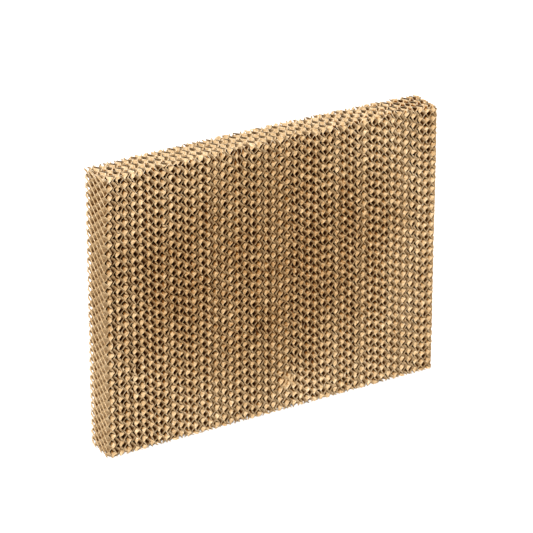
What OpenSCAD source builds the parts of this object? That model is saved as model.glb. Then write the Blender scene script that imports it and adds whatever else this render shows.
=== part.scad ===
// Evaporative cooling pad: a stack of corrugated paper sheets, glued crest to crest.
// The sheets stand side by side along X. Each spans the pad's depth (Y) and height (Z).
// Flutes rise to the back on one sheet and fall to the back on the next, so they cross.

/* [Pad] */
// Height of the pad as it stands
pad_height = 352; // [120:1:700]
// Depth of the pad, the way the air passes
pad_depth = 46; // [30:1:150]
// Pairs of sheets in the stack, one rising and one falling in each
pair_count = 47; // [24:1:60]
// How much the saw has taken off the end sheets
end_trim = 3.2; // [1:0.1:4]

/* [Paper] */
// Thickness of the resin-stiffened paper
paper = 0.4; // [0.2:0.05:0.6]
// Height of a flute over both crests, and so the pitch of the sheets
flute_height = 5; // [4.5:0.1:8]
// Pitch of the flutes, measured square across them
flute_pitch = 9.2; // [8:0.1:14]
// Slope of the flutes from the level
flute_angle = 37; // [25:1:60]

/* [Hidden] */
// Bundles that the sheets of each slope are listed in
bundle_count = 24;
sheet_count = 2 * pair_count;
pad_width = sheet_count * flute_height - 2 * end_trim;
stack_start = -sheet_count * flute_height / 2;

// Flanks at constant paper thickness, between crests drawn as plain folds
half_wave = flute_pitch / 2;
flank_angle = acos(paper / norm([flute_height, half_wave])) - atan(half_wave / flute_height);
flank_depth = paper / cos(flank_angle);

// How far the waves and flutes reach, measured from the middle of a sheet
wave_reach = (pad_height * cos(flute_angle) + pad_depth * sin(flute_angle)) / 2;
flute_length = pad_height * sin(flute_angle) + pad_depth * cos(flute_angle) + 2 * flute_pitch;
last_wave = ceil(wave_reach / flute_pitch) + 1;

// A crest within this reach is long enough to cross a crest of the next sheet, and is glued there
glued_reach = wave_reach - half_wave;

// Scatter of the flutes from sheet to sheet, as a share of the pitch
scatter_step = 78.233;
scatter_gain = 437.585;

rising_color = [0.80, 0.64, 0.44];
falling_color = [0.72, 0.56, 0.37];

function two_digits(n) = n < 10 ? str("0", n) : str(n);
function bundle_name(slope, bundle) = str(slope, "_sheets_", two_digits(bundle + 1));
function first_pair(bundle) = floor(bundle * pair_count / bundle_count);
function wave_share(i) = sin(i * scatter_step) * scatter_gain;
function wave_shift(i) = flute_pitch * (wave_share(i) - floor(wave_share(i)));

// Section across the flutes: each wave is an upper crest and the flanks beside it.
// The lower crests are on the line y = 0.
module wave_section(first, last) {
    under = [
        for (wave = [first : last])
            let (s = wave * flute_pitch)
            each [[s - half_wave, 0], [s, flute_height - flank_depth]]
    ];
    over = [
        for (wave = [last : -1 : first])
            let (s = wave * flute_pitch)
            each [[s, flute_height], [s - half_wave, flank_depth]]
    ];
    end = last * flute_pitch + half_wave;
    polygon(concat(under, [[end, 0], [end, flank_depth]], over));
}

// A section drawn out along the flutes, with the lower crests on the plane x = 0
module along_flutes(slope, shift) {
    translate([0, 0, pad_height / 2])
        rotate([slope, 0, 0])
        rotate([-90, -90, 0])
        translate([shift, 0, -flute_length / 2])
        linear_extrude(flute_length)
        children();
}

// What lies within the pad's depth and height, and beyond the plane x = from
module cut_to_pad(from) {
    intersection() {
        translate([from, -pad_depth / 2, 0])
            cube([2 * flute_height - from, pad_depth, pad_height]);
        children();
    }
}

module whole_sheet(slope, shift) {
    cut_to_pad(-flute_height)
        along_flutes(slope, shift)
        wave_section(-last_wave, last_wave);
}

// An end sheet, sawn through: the gutters that are glued to the next sheet are left
module sawn_sheet(slope, shift) {
    cut_to_pad(end_trim)
        for (wave = [-last_wave : last_wave])
            if (abs(wave * flute_pitch + shift) <= glued_reach)
                along_flutes(slope, shift)
                wave_section(wave, wave);
}

module place_sheet(i, slope) {
    translate([stack_start + i * flute_height, 0, 0]) {
        if (i == 0)
            sawn_sheet(slope, wave_shift(i));
        else if (i == sheet_count - 1)
            translate([flute_height, 0, 0])
                rotate([0, 0, 180])
                sawn_sheet(-slope, wave_shift(i));
        else
            whole_sheet(slope, wave_shift(i));
    }
}

module rising_sheets(bundle) {
    color(rising_color)
        for (pair = [first_pair(bundle) : first_pair(bundle + 1) - 1])
            place_sheet(2 * pair, flute_angle);
}

module falling_sheets(bundle) {
    color(falling_color)
        for (pair = [first_pair(bundle) : first_pair(bundle + 1) - 1])
            place_sheet(2 * pair + 1, -flute_angle);
}

for (bundle = [0 : bundle_count - 1]) {
    rising_sheets(bundle);
    falling_sheets(bundle);
}
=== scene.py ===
import math
import random

import bmesh
import bpy
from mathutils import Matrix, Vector, noise


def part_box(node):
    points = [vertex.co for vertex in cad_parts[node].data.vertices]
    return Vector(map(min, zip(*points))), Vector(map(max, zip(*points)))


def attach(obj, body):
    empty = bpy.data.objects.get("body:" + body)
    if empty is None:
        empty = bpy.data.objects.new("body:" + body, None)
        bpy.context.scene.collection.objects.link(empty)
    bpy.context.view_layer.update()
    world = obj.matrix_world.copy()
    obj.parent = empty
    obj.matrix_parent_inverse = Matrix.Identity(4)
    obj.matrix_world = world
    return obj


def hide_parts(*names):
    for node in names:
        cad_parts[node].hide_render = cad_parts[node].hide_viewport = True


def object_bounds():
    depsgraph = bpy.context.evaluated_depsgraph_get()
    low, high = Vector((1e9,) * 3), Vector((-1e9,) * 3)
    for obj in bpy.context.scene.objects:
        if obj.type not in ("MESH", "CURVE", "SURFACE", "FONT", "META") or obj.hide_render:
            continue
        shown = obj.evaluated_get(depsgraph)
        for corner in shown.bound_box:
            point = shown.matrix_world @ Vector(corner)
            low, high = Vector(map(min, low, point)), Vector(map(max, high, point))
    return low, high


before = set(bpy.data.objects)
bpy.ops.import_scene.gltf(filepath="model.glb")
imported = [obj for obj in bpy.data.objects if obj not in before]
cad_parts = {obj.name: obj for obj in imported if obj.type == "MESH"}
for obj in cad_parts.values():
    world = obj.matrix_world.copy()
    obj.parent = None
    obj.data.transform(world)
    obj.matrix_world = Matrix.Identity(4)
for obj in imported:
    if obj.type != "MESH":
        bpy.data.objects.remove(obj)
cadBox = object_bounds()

# a cooling pad of corrugated paper sheets, which stand side by side along X
# each sheet spans the pad's depth (Y) and height (Z)
scene = bpy.context.scene
padLow, padHigh = cadBox
padDepth = padHigh.y - padLow.y
padHeight = padHigh.z - padLow.z
mm = 0.001

print("frame loaded:", len(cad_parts), "bundles of sheets")


# small helpers for material nodes
def addNode(tree, kind, **inputs):
    node = tree.nodes.new(kind)
    for key, value in inputs.items():
        node.inputs[key].default_value = value
    return node


def mathNode(tree, operation, first, second=None, clamp=False):
    node = tree.nodes.new("ShaderNodeMath")
    node.operation = operation
    node.use_clamp = clamp
    for socket, value in zip(node.inputs, (first, second)):
        if value is None:
            continue
        if isinstance(value, (int, float)):
            socket.default_value = value
        else:
            tree.links.new(value, socket)
    return node.outputs[0]


def rangeNode(tree, value, fromLow, fromHigh, toLow=0.0, toHigh=1.0):
    node = tree.nodes.new("ShaderNodeMapRange")
    node.interpolation_type = "SMOOTHSTEP"
    tree.links.new(value, node.inputs["Value"])
    sockets = ("From Min", "From Max", "To Min", "To Max")
    for key, number in zip(sockets, (fromLow, fromHigh, toLow, toHigh)):
        node.inputs[key].default_value = number
    return node.outputs["Result"]


def noiseNode(tree, place, scale, detail=3.0, rough=0.55):
    node = addNode(tree, "ShaderNodeTexNoise", Scale=scale, Detail=detail, Roughness=rough)
    tree.links.new(place, node.inputs["Vector"])
    return node.outputs["Fac"]


def rampNode(tree, factor, stops):
    node = tree.nodes.new("ShaderNodeValToRGB")
    elements = node.color_ramp.elements
    while len(elements) < len(stops):
        elements.new(0.5)     # moved to its place below
    for element, (place, colour) in zip(elements, stops):
        element.position = place
        element.color = (*colour, 1.0)
    tree.links.new(factor, node.inputs["Fac"])
    return node.outputs["Color"]


# kraft paper: brown fibre, with painted shade that darkens it from the sawn faces into the flutes
kraftLook = {
    "tones": (
        (0.0, (0.046, 0.012, 0.001)),
        (0.25, (0.145, 0.057, 0.010)),
        (0.45, (0.285, 0.176, 0.080)),
        (0.75, (0.455, 0.328, 0.188)),
        (1.0, (0.69, 0.610, 0.490)),
    ),
    "shadedTone": 0.05,        # painted shade: the tone deep in the pad
    "outerTone": 0.61,        # tone at the sawn faces
    # how far in from an end, the front and the top the painted shade begins, and is darkest
    "shadeStart": (0, 1.5 * mm, 0),
    "shadeDepth": (10 * mm, 7.5 * mm, 3 * mm),
    "topPaintedLight": 0.02,          # painted light: paler along the top
    "topReach": 11 * mm,
    "grains": ((22.0, 0.22), (160.0, 0.4), (420.0, 0.7), (900.0, 0.9)),   # scale per metre, strength
    "fibreScale": 2400.0,
    "fibreDetail": 4.0,
    "fibreHeight": 0.1 * mm,
    "bump": 0.25,
    "roughness": 0.88,
    "specular": 0.08,
}

# sawn edge of the paper: torn fibre
edgeLook = {
    "tones": (
        (0.0, (0.05, 0.018, 0.003)),
        (0.5, (0.20, 0.108, 0.036)),
        (0.8, (0.46, 0.315, 0.162)),
        (1.0, (0.70, 0.600, 0.460)),
    ),
    # painted shade: the tone deep in the pad
    "shadedTone": 0.45,
    "outerTone": 0.76,
    "shadeStart": (0, 0, 0),
    "shadeDepth": (6 * mm, 6 * mm, 5 * mm),
    # painted light: paler along the top
    "topPaintedLight": 0.15,
    "topReach": 6 * mm,
    "grains": ((22.0, 0.22), (300.0, 0.9), (900.0, 0.8)),
    "fibreScale": 3200.0,
    "fibreDetail": 4.0,
    "fibreHeight": 0.1 * mm,
    "bump": 0.4,
    "roughness": 0.95,
    "specular": 0.08,
}

# painted shade over the middle of the pad
middleShadeLook = {
    "place": (-20 * mm, 195 * mm),     # X and Z of its middle
    "reach": (235 * mm, 175 * mm),
    "fade": (0.1, 1.1),       # begins to fade and is gone, as a squared share of its reach
    "tone": -0.17,
}


def nearestFace(tree, split, look):
    # how near the closest outer face of the pad a point lies, 1 at the face, which sets the painted
    # shade
    nearest = 0.0
    faces = zip("XYZ", padLow, padHigh, look["shadeStart"], look["shadeDepth"])
    for axis, low, high, start, depth in faces:
        half = (high - low) / 2
        offset = mathNode(tree, "SUBTRACT", split.outputs[axis], (low + high) / 2)
        fromMiddle = mathNode(tree, "ABSOLUTE", offset)
        nearThis = rangeNode(tree, fromMiddle, half - depth, half - start)
        nearest = mathNode(tree, "MAXIMUM", nearThis, nearest)
    return nearest


def paintedMiddleShade(tree, split):
    # the painted shade fades outwards from its middle
    spread = 0.0
    for axis, middle, reach in zip("XZ", middleShadeLook["place"], middleShadeLook["reach"]):
        offset = mathNode(tree, "SUBTRACT", split.outputs[axis], middle)
        share = mathNode(tree, "DIVIDE", offset, reach)
        spread = mathNode(tree, "ADD", mathNode(tree, "MULTIPLY", share, share), spread)
    return rangeNode(tree, spread, *middleShadeLook["fade"], middleShadeLook["tone"], 0.0)


def makePaper(name, look):
    material = bpy.data.materials.new(name)
    material.use_nodes = True
    tree = material.node_tree
    shader = tree.nodes["Principled BSDF"]
    coords = tree.nodes.new("ShaderNodeTexCoord").outputs["Object"]
    split = tree.nodes.new("ShaderNodeSeparateXYZ")
    tree.links.new(coords, split.inputs[0])

    # painted shade: the paper darkens from the sawn faces inwards, standing in for the shade deep in
    # the flutes
    nearFace = nearestFace(tree, split, look)
    tone = rangeNode(tree, nearFace, 0.0, 1.0, look["shadedTone"], look["outerTone"])
    # painted light: the paper is paler towards the top, where the light falls
    topStart = padHigh.z - look["topReach"]
    paintedTopLight = rangeNode(tree, split.outputs["Z"], topStart, padHigh.z, 0.0, look["topPaintedLight"])
    tone = mathNode(tree, "ADD", tone, paintedTopLight)
    # painted shade over the middle of the pad
    tone = mathNode(tree, "ADD", tone, paintedMiddleShade(tree, split))

    # clouds, blotches and flecks, each round zero, and the sheet's own tone
    for scale, gain in look["grains"]:
        grain = mathNode(tree, "SUBTRACT", noiseNode(tree, coords, scale), 0.5)
        tone = mathNode(tree, "ADD", tone, mathNode(tree, "MULTIPLY", grain, gain))
    ownTone = tree.nodes.new("ShaderNodeAttribute")
    ownTone.attribute_name = "sheetTone"
    tone = mathNode(tree, "ADD", tone, ownTone.outputs["Fac"], clamp=True)
    tree.links.new(rampNode(tree, tone, look["tones"]), shader.inputs["Base Color"])

    shader.inputs["Roughness"].default_value = look["roughness"]
    shader.inputs["Specular IOR Level"].default_value = look["specular"]
    bump = addNode(tree, "ShaderNodeBump", Strength=look["bump"], Distance=look["fibreHeight"])
    fibre = noiseNode(tree, coords, look["fibreScale"], look["fibreDetail"])
    tree.links.new(fibre, bump.inputs["Height"])
    tree.links.new(bump.outputs["Normal"], shader.inputs["Normal"])
    return material


kraftPaper = makePaper("kraft_paper", kraftLook)
sawnEdge = makePaper("sawn_paper_edge", edgeLook)
print("materials made")


# the corrugated sheets: how each is divided, and how far it strays from a perfect wave
sheetLook = {
    "paper": 0.28 * mm,
    "mitreLimit": 0.25,       # holds back the wall at a sharp turn
    "stepsPerFlute": 10,
    "columns": (-1.0, -0.95, -0.84, -0.58, 0.12, 0.82, 1.0),   # share of the half depth
    "foldedness": 0.8,        # 0 is a sine wave, 1 a zigzag
    "glue": 0.06 * mm,        # how far glued crests are pressed into each other
    "phaseWander": 0.09,      # drift of the flutes, in periods
    "sway": 0.8 * mm,         # bow of the whole stack
    "edgeReach": 3.0 * mm,    # how far in from a sawn face the paper is bent
    # by the axis across them: sideways bend of the sawn edges, and how uneven the saw left them
    "edgeBend": {1: 1.1 * mm, 2: 0.5 * mm},
    "edgeRough": {1: 0.8 * mm, 2: 0.25 * mm},
    "foldOver": 3.0,          # how much more the strongest bends fold over
    "endCut": 0.9 * mm,       # how much deeper the saw went at the ends
    "toneSpread": 0.02,       # how much the sheets differ in tone
    "seed": 11,
}
chance = random.Random(sheetLook["seed"])

# the noise behind each kind of straying: its scale per metre, its stretch from sheet to sheet
# or along X, then along Y, and a channel of its own
wanderLook = {
    "drift": {"scale": 14, "stretch": (0.37, 1), "channel": 1},
    "bend": {"scale": 300, "stretch": (3.1, 0.6), "channel": 4},
    "fray": {"scale": 340, "stretch": (2.3, 1), "channel": 5},
    "sway": {"scale": 9, "stretch": (0.4, 1), "channel": 3},
    "channelGap": 17.3,
}


def wander(kind, x, y, z):
    look = wanderLook[kind]
    scale = look["scale"]
    across, deep = look["stretch"]
    lift = wanderLook["channelGap"] * look["channel"]
    return noise.noise(Vector((x * across * scale, y * deep * scale, z * scale + lift)))


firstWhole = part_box("falling_sheets_01")
fluteHeight = firstWhole[1].x - firstWhole[0].x
stackStart = firstWhole[0].x - fluteHeight

onFace = 0.001 * mm       # a point this near a sawn face lies on it
onCrest = 0.01 * mm       # the same for the crests of the CAD sheets
crestDigits = 5           # crests are read to 0.01 mm
crestGap = 1 * mm         # points nearer than this are on one crest
boxSlack = 0.1 * mm       # for telling from a box which sheets it holds


def crestPlaces(node, crestX, axis, plane, along):
    # where the crests of a CAD sheet meet one of its sawn faces, in order
    found = set()
    for vertex in node.data.vertices:
        atCrest = abs(vertex.co.x - crestX) < onCrest
        if atCrest and abs(vertex.co[axis] - plane) < onCrest:
            found.add(round(vertex.co[along], crestDigits))
    places = sorted(found)
    return [p for i, p in enumerate(places) if i == 0 or p - places[i - 1] > crestGap]


def meanStep(places):
    return (places[-1] - places[0]) / (len(places) - 1)


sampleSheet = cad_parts["falling_sheets_01"]
flutePitch = meanStep(crestPlaces(sampleSheet, firstWhole[1].x, 1, padLow.y, 2))     # up the front
fluteSlope = flutePitch / meanStep(crestPlaces(sampleSheet, firstWhole[1].x, 2, padHigh.z, 1))


def sheetsOf(nodeName):
    # the sheets that a bundle holds, from its box and its crests
    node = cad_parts[nodeName]
    low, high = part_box(nodeName)
    number = math.floor((low.x - stackStart + boxSlack) / fluteHeight)
    sheets = []
    while stackStart + number * fluteHeight < high.x - boxSlack:
        left = stackStart + number * fluteHeight
        right = left + fluteHeight
        side = 1 if right < padHigh.x + boxSlack else -1     # the last sheet lost its right crests
        crestX = right if side > 0 else left
        sheets.append({
            "number": number,
            "left": left,
            "side": side,
            "crest": crestPlaces(node, crestX, 1, padLow.y, 2)[0],
            "slope": fluteSlope if nodeName.startswith("rising") else -fluteSlope,
            "tone": sheetLook["toneSpread"] * chance.uniform(-1, 1),
        })
        number += 2
    return sheets


def waveShape(phase):
    turn = phase - math.floor(phase)
    zigzag = abs(4 * turn - 2) - 1
    folded = sheetLook["foldedness"]
    return (1 - folded) * math.cos(2 * math.pi * turn) + folded * zigzag


def waveGrid(sheet):
    # a grid whose rows follow the flutes, bent into the wave
    steps = sheetLook["stepsPerFlute"]
    columns = sheetLook["columns"]
    rise = abs(sheet["slope"]) * padDepth
    lowRow = math.floor((padLow.z - rise - sheet["crest"]) / flutePitch) * steps
    highRow = math.ceil((padHigh.z + rise - sheet["crest"]) / flutePitch) * steps
    rows = highRow - lowRow
    bm = bmesh.new()
    bmesh.ops.create_grid(bm, x_segments=len(columns) - 1, y_segments=rows, size=1.0)
    amplitude = sheet["side"] * ((fluteHeight - sheetLook["paper"]) / 2 + sheetLook["glue"])
    middle = sheet["left"] + fluteHeight / 2
    for vertex in bm.verts:
        column = round((vertex.co.x + 1) / 2 * (len(columns) - 1))
        row = round((vertex.co.y + 1) / 2 * rows) + lowRow
        y = columns[column] * padDepth / 2
        z = sheet["crest"] + row / steps * flutePitch + sheet["slope"] * (y - padLow.y)
        drift = sheetLook["phaseWander"] * wander("drift", sheet["number"], y, z)
        vertex.co = (middle + amplitude * waveShape(row / steps), y, z - drift * flutePitch)
    return bm


def cutAway(bm, point, outwards):
    geometry = bm.verts[:] + bm.edges[:] + bm.faces[:]
    bmesh.ops.bisect_plane(bm, geom=geometry, plane_co=point, plane_no=outwards, clear_outer=True)


def onSawnFace(place, axis):
    return min(abs(place[axis] - padLow[axis]), abs(place[axis] - padHigh[axis])) < onFace


def thicken(bm):
    # give the sheet its wall, with every rim flat in its sawn plane, and mark the rims
    bm.normal_update()
    shift = bm.verts.layers.float_vector.new("shift")
    for vertex in bm.verts:
        direction = vertex.normal.copy()
        for axis in range(3):
            if onSawnFace(vertex.co, axis):
                direction[axis] = 0
        facing = max(direction.dot(vertex.normal), sheetLook["mitreLimit"])
        vertex[shift] = direction * sheetLook["paper"] / facing
    made = bmesh.ops.extrude_face_region(bm, geom=bm.faces[:], use_keep_orig=True)
    upper = {g for g in made["geom"] if isinstance(g, bmesh.types.BMVert)}
    for vertex in bm.verts:
        vertex.co += vertex[shift] * (0.5 if vertex in upper else -0.5)
    for face in bm.faces:
        face.smooth = True
        above = sum(v in upper for v in face.verts)
        if 0 < above < len(face.verts):     # a rim joins both sides of the wall
            face.material_index = 1
            face.smooth = False
            for edge in face.edges:
                edge.smooth = False
    bm.verts.layers.float_vector.remove(shift)
    bmesh.ops.recalc_face_normals(bm, faces=bm.faces[:])


# wear: pressed ends, a bowed top, rounded corners, a crushed spot low on the front and lesser dents
wearLook = {
    # the left end sheet is pressed flat at the back and top, the right one at the front
    "pressReach": {"left": 6 * mm, "right": 16 * mm},
    "pressRoom": 0.97,        # share of the room up to the saw that they keep
    "lift": 2.4 * mm,         # the left one stands off along the top, most at the back
    "liftReach": 8 * mm,
    "liftFront": 0.3,         # share of the lift at the front
    "endSkew": 3.6 * mm,      # the left end stands out at the front
    "skewReach": 100 * mm,
    "crown": 2.8 * mm,        # the top is bowed up, most a little left of the middle
    "crownPlace": -50 * mm,
    "crownReach": 260 * mm,
    "cornerRadii": ((2 * mm, 2 * mm), (3 * mm, 8 * mm)),   # left and right end, each bottom then top
    "backShare": 0.3,         # how much of that is left at the back
    "longRadius": 0.8 * mm,
    "uprightRadius": 1.5 * mm,
    "crushPlace": (14.9 * mm, 39.4 * mm),    # X and Z on the front
    "crushRadius": 13.0 * mm,
    "crushDepth": 7.0 * mm,
    "crushLean": 4.6 * mm,
    "crushPush": 1.5 * mm,
    "dentCount": 36,
    "dentRadius": (5 * mm, 9 * mm),
    "dentDepth": 4.0 * mm,
    "dentLean": 1.5 * mm,
    "leanSpread": (0.5, 1),   # share of that lean, from dent to dent
    "dentPush": 0.6 * mm,
    "dentFlatten": 0.6,       # how much of the wave a dent presses flat
}


def makeDents():
    # place, radius, depth, sideways lean and push inwards of the crushed spot and of each dent
    look = wearLook
    place = Vector((look["crushPlace"][0], padLow.y, look["crushPlace"][1]))
    dents = [(place, look["crushRadius"], look["crushDepth"], look["crushLean"], look["crushPush"])]
    for i in range(look["dentCount"]):
        front = i % 2 == 0
        place = Vector((
            chance.uniform(padLow.x, padHigh.x),
            padLow.y if front else padHigh.y,
            chance.uniform(padLow.z, padHigh.z),
        ))
        lean = look["dentLean"] * chance.choice((-1, 1)) * chance.uniform(*look["leanSpread"])
        push = look["dentPush"] if front else -look["dentPush"]
        dents.append((place, chance.uniform(*look["dentRadius"]), look["dentDepth"], lean, push))
    return dents


dents = makeDents()
print("dents placed:", len(dents))


def frayed(place, number, inner):
    # bend the sawn edges sideways and leave them uneven
    look = sheetLook
    start = place.copy()
    bend = wander("bend", number, start.y, start.z)
    if inner:
        bend += look["foldOver"] * bend ** 3
    fray = wander("fray", number, start.y, start.z + start.x)
    for axis in (1, 2):
        fromLow = start[axis] - padLow[axis]
        fromHigh = padHigh[axis] - start[axis]
        inside = min(fromLow, fromHigh)
        place.x += look["edgeBend"][axis] * bend * max(0, 1 - inside / look["edgeReach"])
        if inside < onFace:
            place[axis] += look["edgeRough"][axis] * fray * (1 if fromLow < fromHigh else -1)


def dented(place, middle, struck):
    # fold the sawn edges over sideways and press them in, most at the middle of a dent
    for centre, radius, depth, lean, push in struck:
        near = 1 - math.hypot(place.x - centre.x, place.z - centre.z) / radius
        deep = 1 - abs(place.y - centre.y) / depth
        if near > 0 and deep > 0:
            share = near * (2 - near) * deep
            place.x += lean * share + wearLook["dentFlatten"] * share * (middle - place.x)
            place.y += push * share


def rounded(place, first, second, radius):
    # squash the square corner between two axes onto a quarter circle
    over = []
    for axis in (first, second):
        inner = min(max(place[axis], padLow[axis] + radius), padHigh[axis] - radius)
        over.append(place[axis] - inner)
    if all(over):
        loss = 1 - max(abs(o) for o in over) / math.hypot(*over)
        place[first] -= over[0] * loss
        place[second] -= over[1] * loss


def cornersRounded(place):
    front = (padHigh.y - place.y) / padDepth
    radius = wearLook["cornerRadii"][place.x > 0][place.z > padHeight / 2]
    rounded(place, 0, 2, radius * (wearLook["backShare"] * (1 - front) + front))
    rounded(place, 1, 2, wearLook["longRadius"])
    rounded(place, 0, 1, wearLook["uprightRadius"])


def lifted(place):
    share = 1 - (padHigh.z - place.z) / wearLook["liftReach"]
    if share > 0:
        front = wearLook["liftFront"]
        place.x -= wearLook["lift"] * share * (front + (1 - front) * (place.y - padLow.y) / padDepth)


def skewed(place):
    reach = wearLook["skewReach"]
    left = 1 - (place.x - padLow.x) / reach
    if left > 0:
        front = (padHigh.y - place.y) / padDepth
        below = min(1, (padHigh.z - place.z) / reach)
        place.x -= wearLook["endSkew"] * left * left * front * below


def crowned(place):
    share = 1 - ((place.x - wearLook["crownPlace"]) / wearLook["crownReach"]) ** 2
    if share > 0:
        place.z += wearLook["crown"] * share * place.z / padHeight


def wear(bm, sheet):
    number = sheet["number"]
    middle = sheet["left"] + fluteHeight / 2
    inner = number > 0 and sheet["side"] > 0     # not one of the end sheets
    struck = [dent for dent in dents if abs(dent[0].x - middle) < dent[1] + fluteHeight]
    for vertex in bm.verts:
        place = vertex.co.copy()
        frayed(place, number, inner)
        dented(place, middle, struck)
        place.x += sheetLook["sway"] * wander("sway", place.x, place.y, place.z)
        cornersRounded(place)
        if number == 0:
            lifted(place)
        skewed(place)
        crowned(place)
        vertex.co = place


def pressFlat(bm, sheet, cut):
    # press an end sheet towards its glued crests, clear of the saw
    atLeft = sheet["side"] > 0
    glued = sheet["left"] + (fluteHeight if atLeft else 0)
    room = wearLook["pressRoom"] * abs(glued - cut) / fluteHeight
    reach = wearLook["pressReach"]["left" if atLeft else "right"]
    for vertex in bm.verts:
        if atLeft:
            inside = min(padHigh.y - vertex.co.y, padHigh.z - vertex.co.z)
        else:
            inside = vertex.co.y - padLow.y
        share = min(1, 2 - 2 * inside / reach)
        if share > 0:
            vertex.co.x = glued + (vertex.co.x - glued) * (1 - share * (1 - room))


def buildSheet(sheet):
    bm = waveGrid(sheet)
    cutAway(bm, (0, 0, padLow.z), (0, 0, -1))
    cutAway(bm, (0, 0, padHigh.z), (0, 0, 1))
    for end, way in ((padLow.x, -1), (padHigh.x, 1)):
        cut = end - way * sheetLook["endCut"]
        if sheet["left"] < cut < sheet["left"] + fluteHeight:     # the end sheets are sawn through
            pressFlat(bm, sheet, cut)
            cutAway(bm, (cut, 0, 0), (way, 0, 0))
    thicken(bm)
    wear(bm, sheet)
    tone = bm.verts.layers.float.new("sheetTone")
    for vertex in bm.verts:
        vertex[tone] = sheet["tone"]
    return bm


def makeBundle(nodeName):
    # the sheets of a bundle in one mesh
    mesh = bpy.data.meshes.new("paper_" + nodeName)
    bundle = bmesh.new()
    for sheet in sheetsOf(nodeName):
        part = buildSheet(sheet)
        spare = bpy.data.meshes.new("spare")
        part.to_mesh(spare)
        part.free()
        bundle.from_mesh(spare)
        bpy.data.meshes.remove(spare)
    bundle.to_mesh(mesh)
    bundle.free()
    mesh.materials.append(kraftPaper)
    mesh.materials.append(sawnEdge)
    return mesh


triangles = 0
for nodeName in sorted(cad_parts):
    mesh = makeBundle(nodeName)
    triangles += sum(len(face.vertices) - 2 for face in mesh.polygons)
    piece = bpy.data.objects.new("paper_" + nodeName, mesh)
    scene.collection.objects.link(piece)
    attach(piece, "root")
    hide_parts(nodeName)
print("sheets made:", triangles, "triangles")


# floor and studio light
studioLook = {
    "floorSize": 30.0,
    "floorColour": (0.60, 0.60, 0.60),
    "floorRoughness": 0.9,
    "worldColour": (1.0, 0.92, 0.78),  # a dim warm fill
    "worldPower": 0.24,
    "keyAim": (0.38, 0.63, -0.68),     # main light, from above the camera
    "keyPower": 7.5,
    "keySoftness": math.radians(10),
    "topAim": (0.10, -0.80, -0.58),    # second light, from behind, on the top and the back
    "topPower": 4.3,
    "topSoftness": math.radians(25),
    "lampHeight": 3.0,
}


def makeFloor():
    bm = bmesh.new()
    bmesh.ops.create_grid(bm, x_segments=1, y_segments=1, size=studioLook["floorSize"] / 2)
    mesh = bpy.data.meshes.new("floor")
    bm.to_mesh(mesh)
    bm.free()
    material = bpy.data.materials.new("pale_floor")
    material.use_nodes = True
    shader = material.node_tree.nodes["Principled BSDF"]
    shader.inputs["Base Color"].default_value = (*studioLook["floorColour"], 1)
    shader.inputs["Roughness"].default_value = studioLook["floorRoughness"]
    mesh.materials.append(material)
    floor = bpy.data.objects.new("floor", mesh)
    scene.collection.objects.link(floor)


def addLight(kind):
    name = kind + "_light"
    lamp = bpy.data.lights.new(name, "SUN")
    lamp.energy = studioLook[kind + "Power"]
    lamp.angle = studioLook[kind + "Softness"]
    holder = bpy.data.objects.new(name, lamp)
    holder.location = (0, 0, studioLook["lampHeight"])
    holder.rotation_euler = Vector(studioLook[kind + "Aim"]).to_track_quat("-Z", "Y").to_euler()
    scene.collection.objects.link(holder)


def lightWorld():
    world = bpy.data.worlds.new("studio")
    world.use_nodes = True
    background = world.node_tree.nodes["Background"]
    background.inputs["Color"].default_value = (*studioLook["worldColour"], 1)
    background.inputs["Strength"].default_value = studioLook["worldPower"]
    scene.world = world
    scene.view_settings.view_transform = "Standard"


makeFloor()
addLight("key")
addLight("top")
lightWorld()
print("studio lit")


# camera at the photograph's angle
cameraLook = {
    "azimuth": math.radians(-32.5),
    "elevation": math.radians(23.4),
    "distance": 3.589,
    "aim": (0.0011, 0.0, 0.1841),
    "lens": 202.6,
    "sensor": 36.0,
}


def placeCamera():
    azimuth = cameraLook["azimuth"]
    elevation = cameraLook["elevation"]
    back = Vector((
        math.sin(azimuth) * math.cos(elevation),
        -math.cos(azimuth) * math.cos(elevation),
        math.sin(elevation),
    ))
    lens = bpy.data.cameras.new("camera")
    lens.lens = cameraLook["lens"]
    lens.sensor_width = cameraLook["sensor"]
    camera = bpy.data.objects.new("camera", lens)
    camera.location = Vector(cameraLook["aim"]) + back * cameraLook["distance"]
    camera.rotation_euler = back.to_track_quat("Z", "Y").to_euler()
    scene.collection.objects.link(camera)
    scene.camera = camera


placeCamera()
print("camera set")
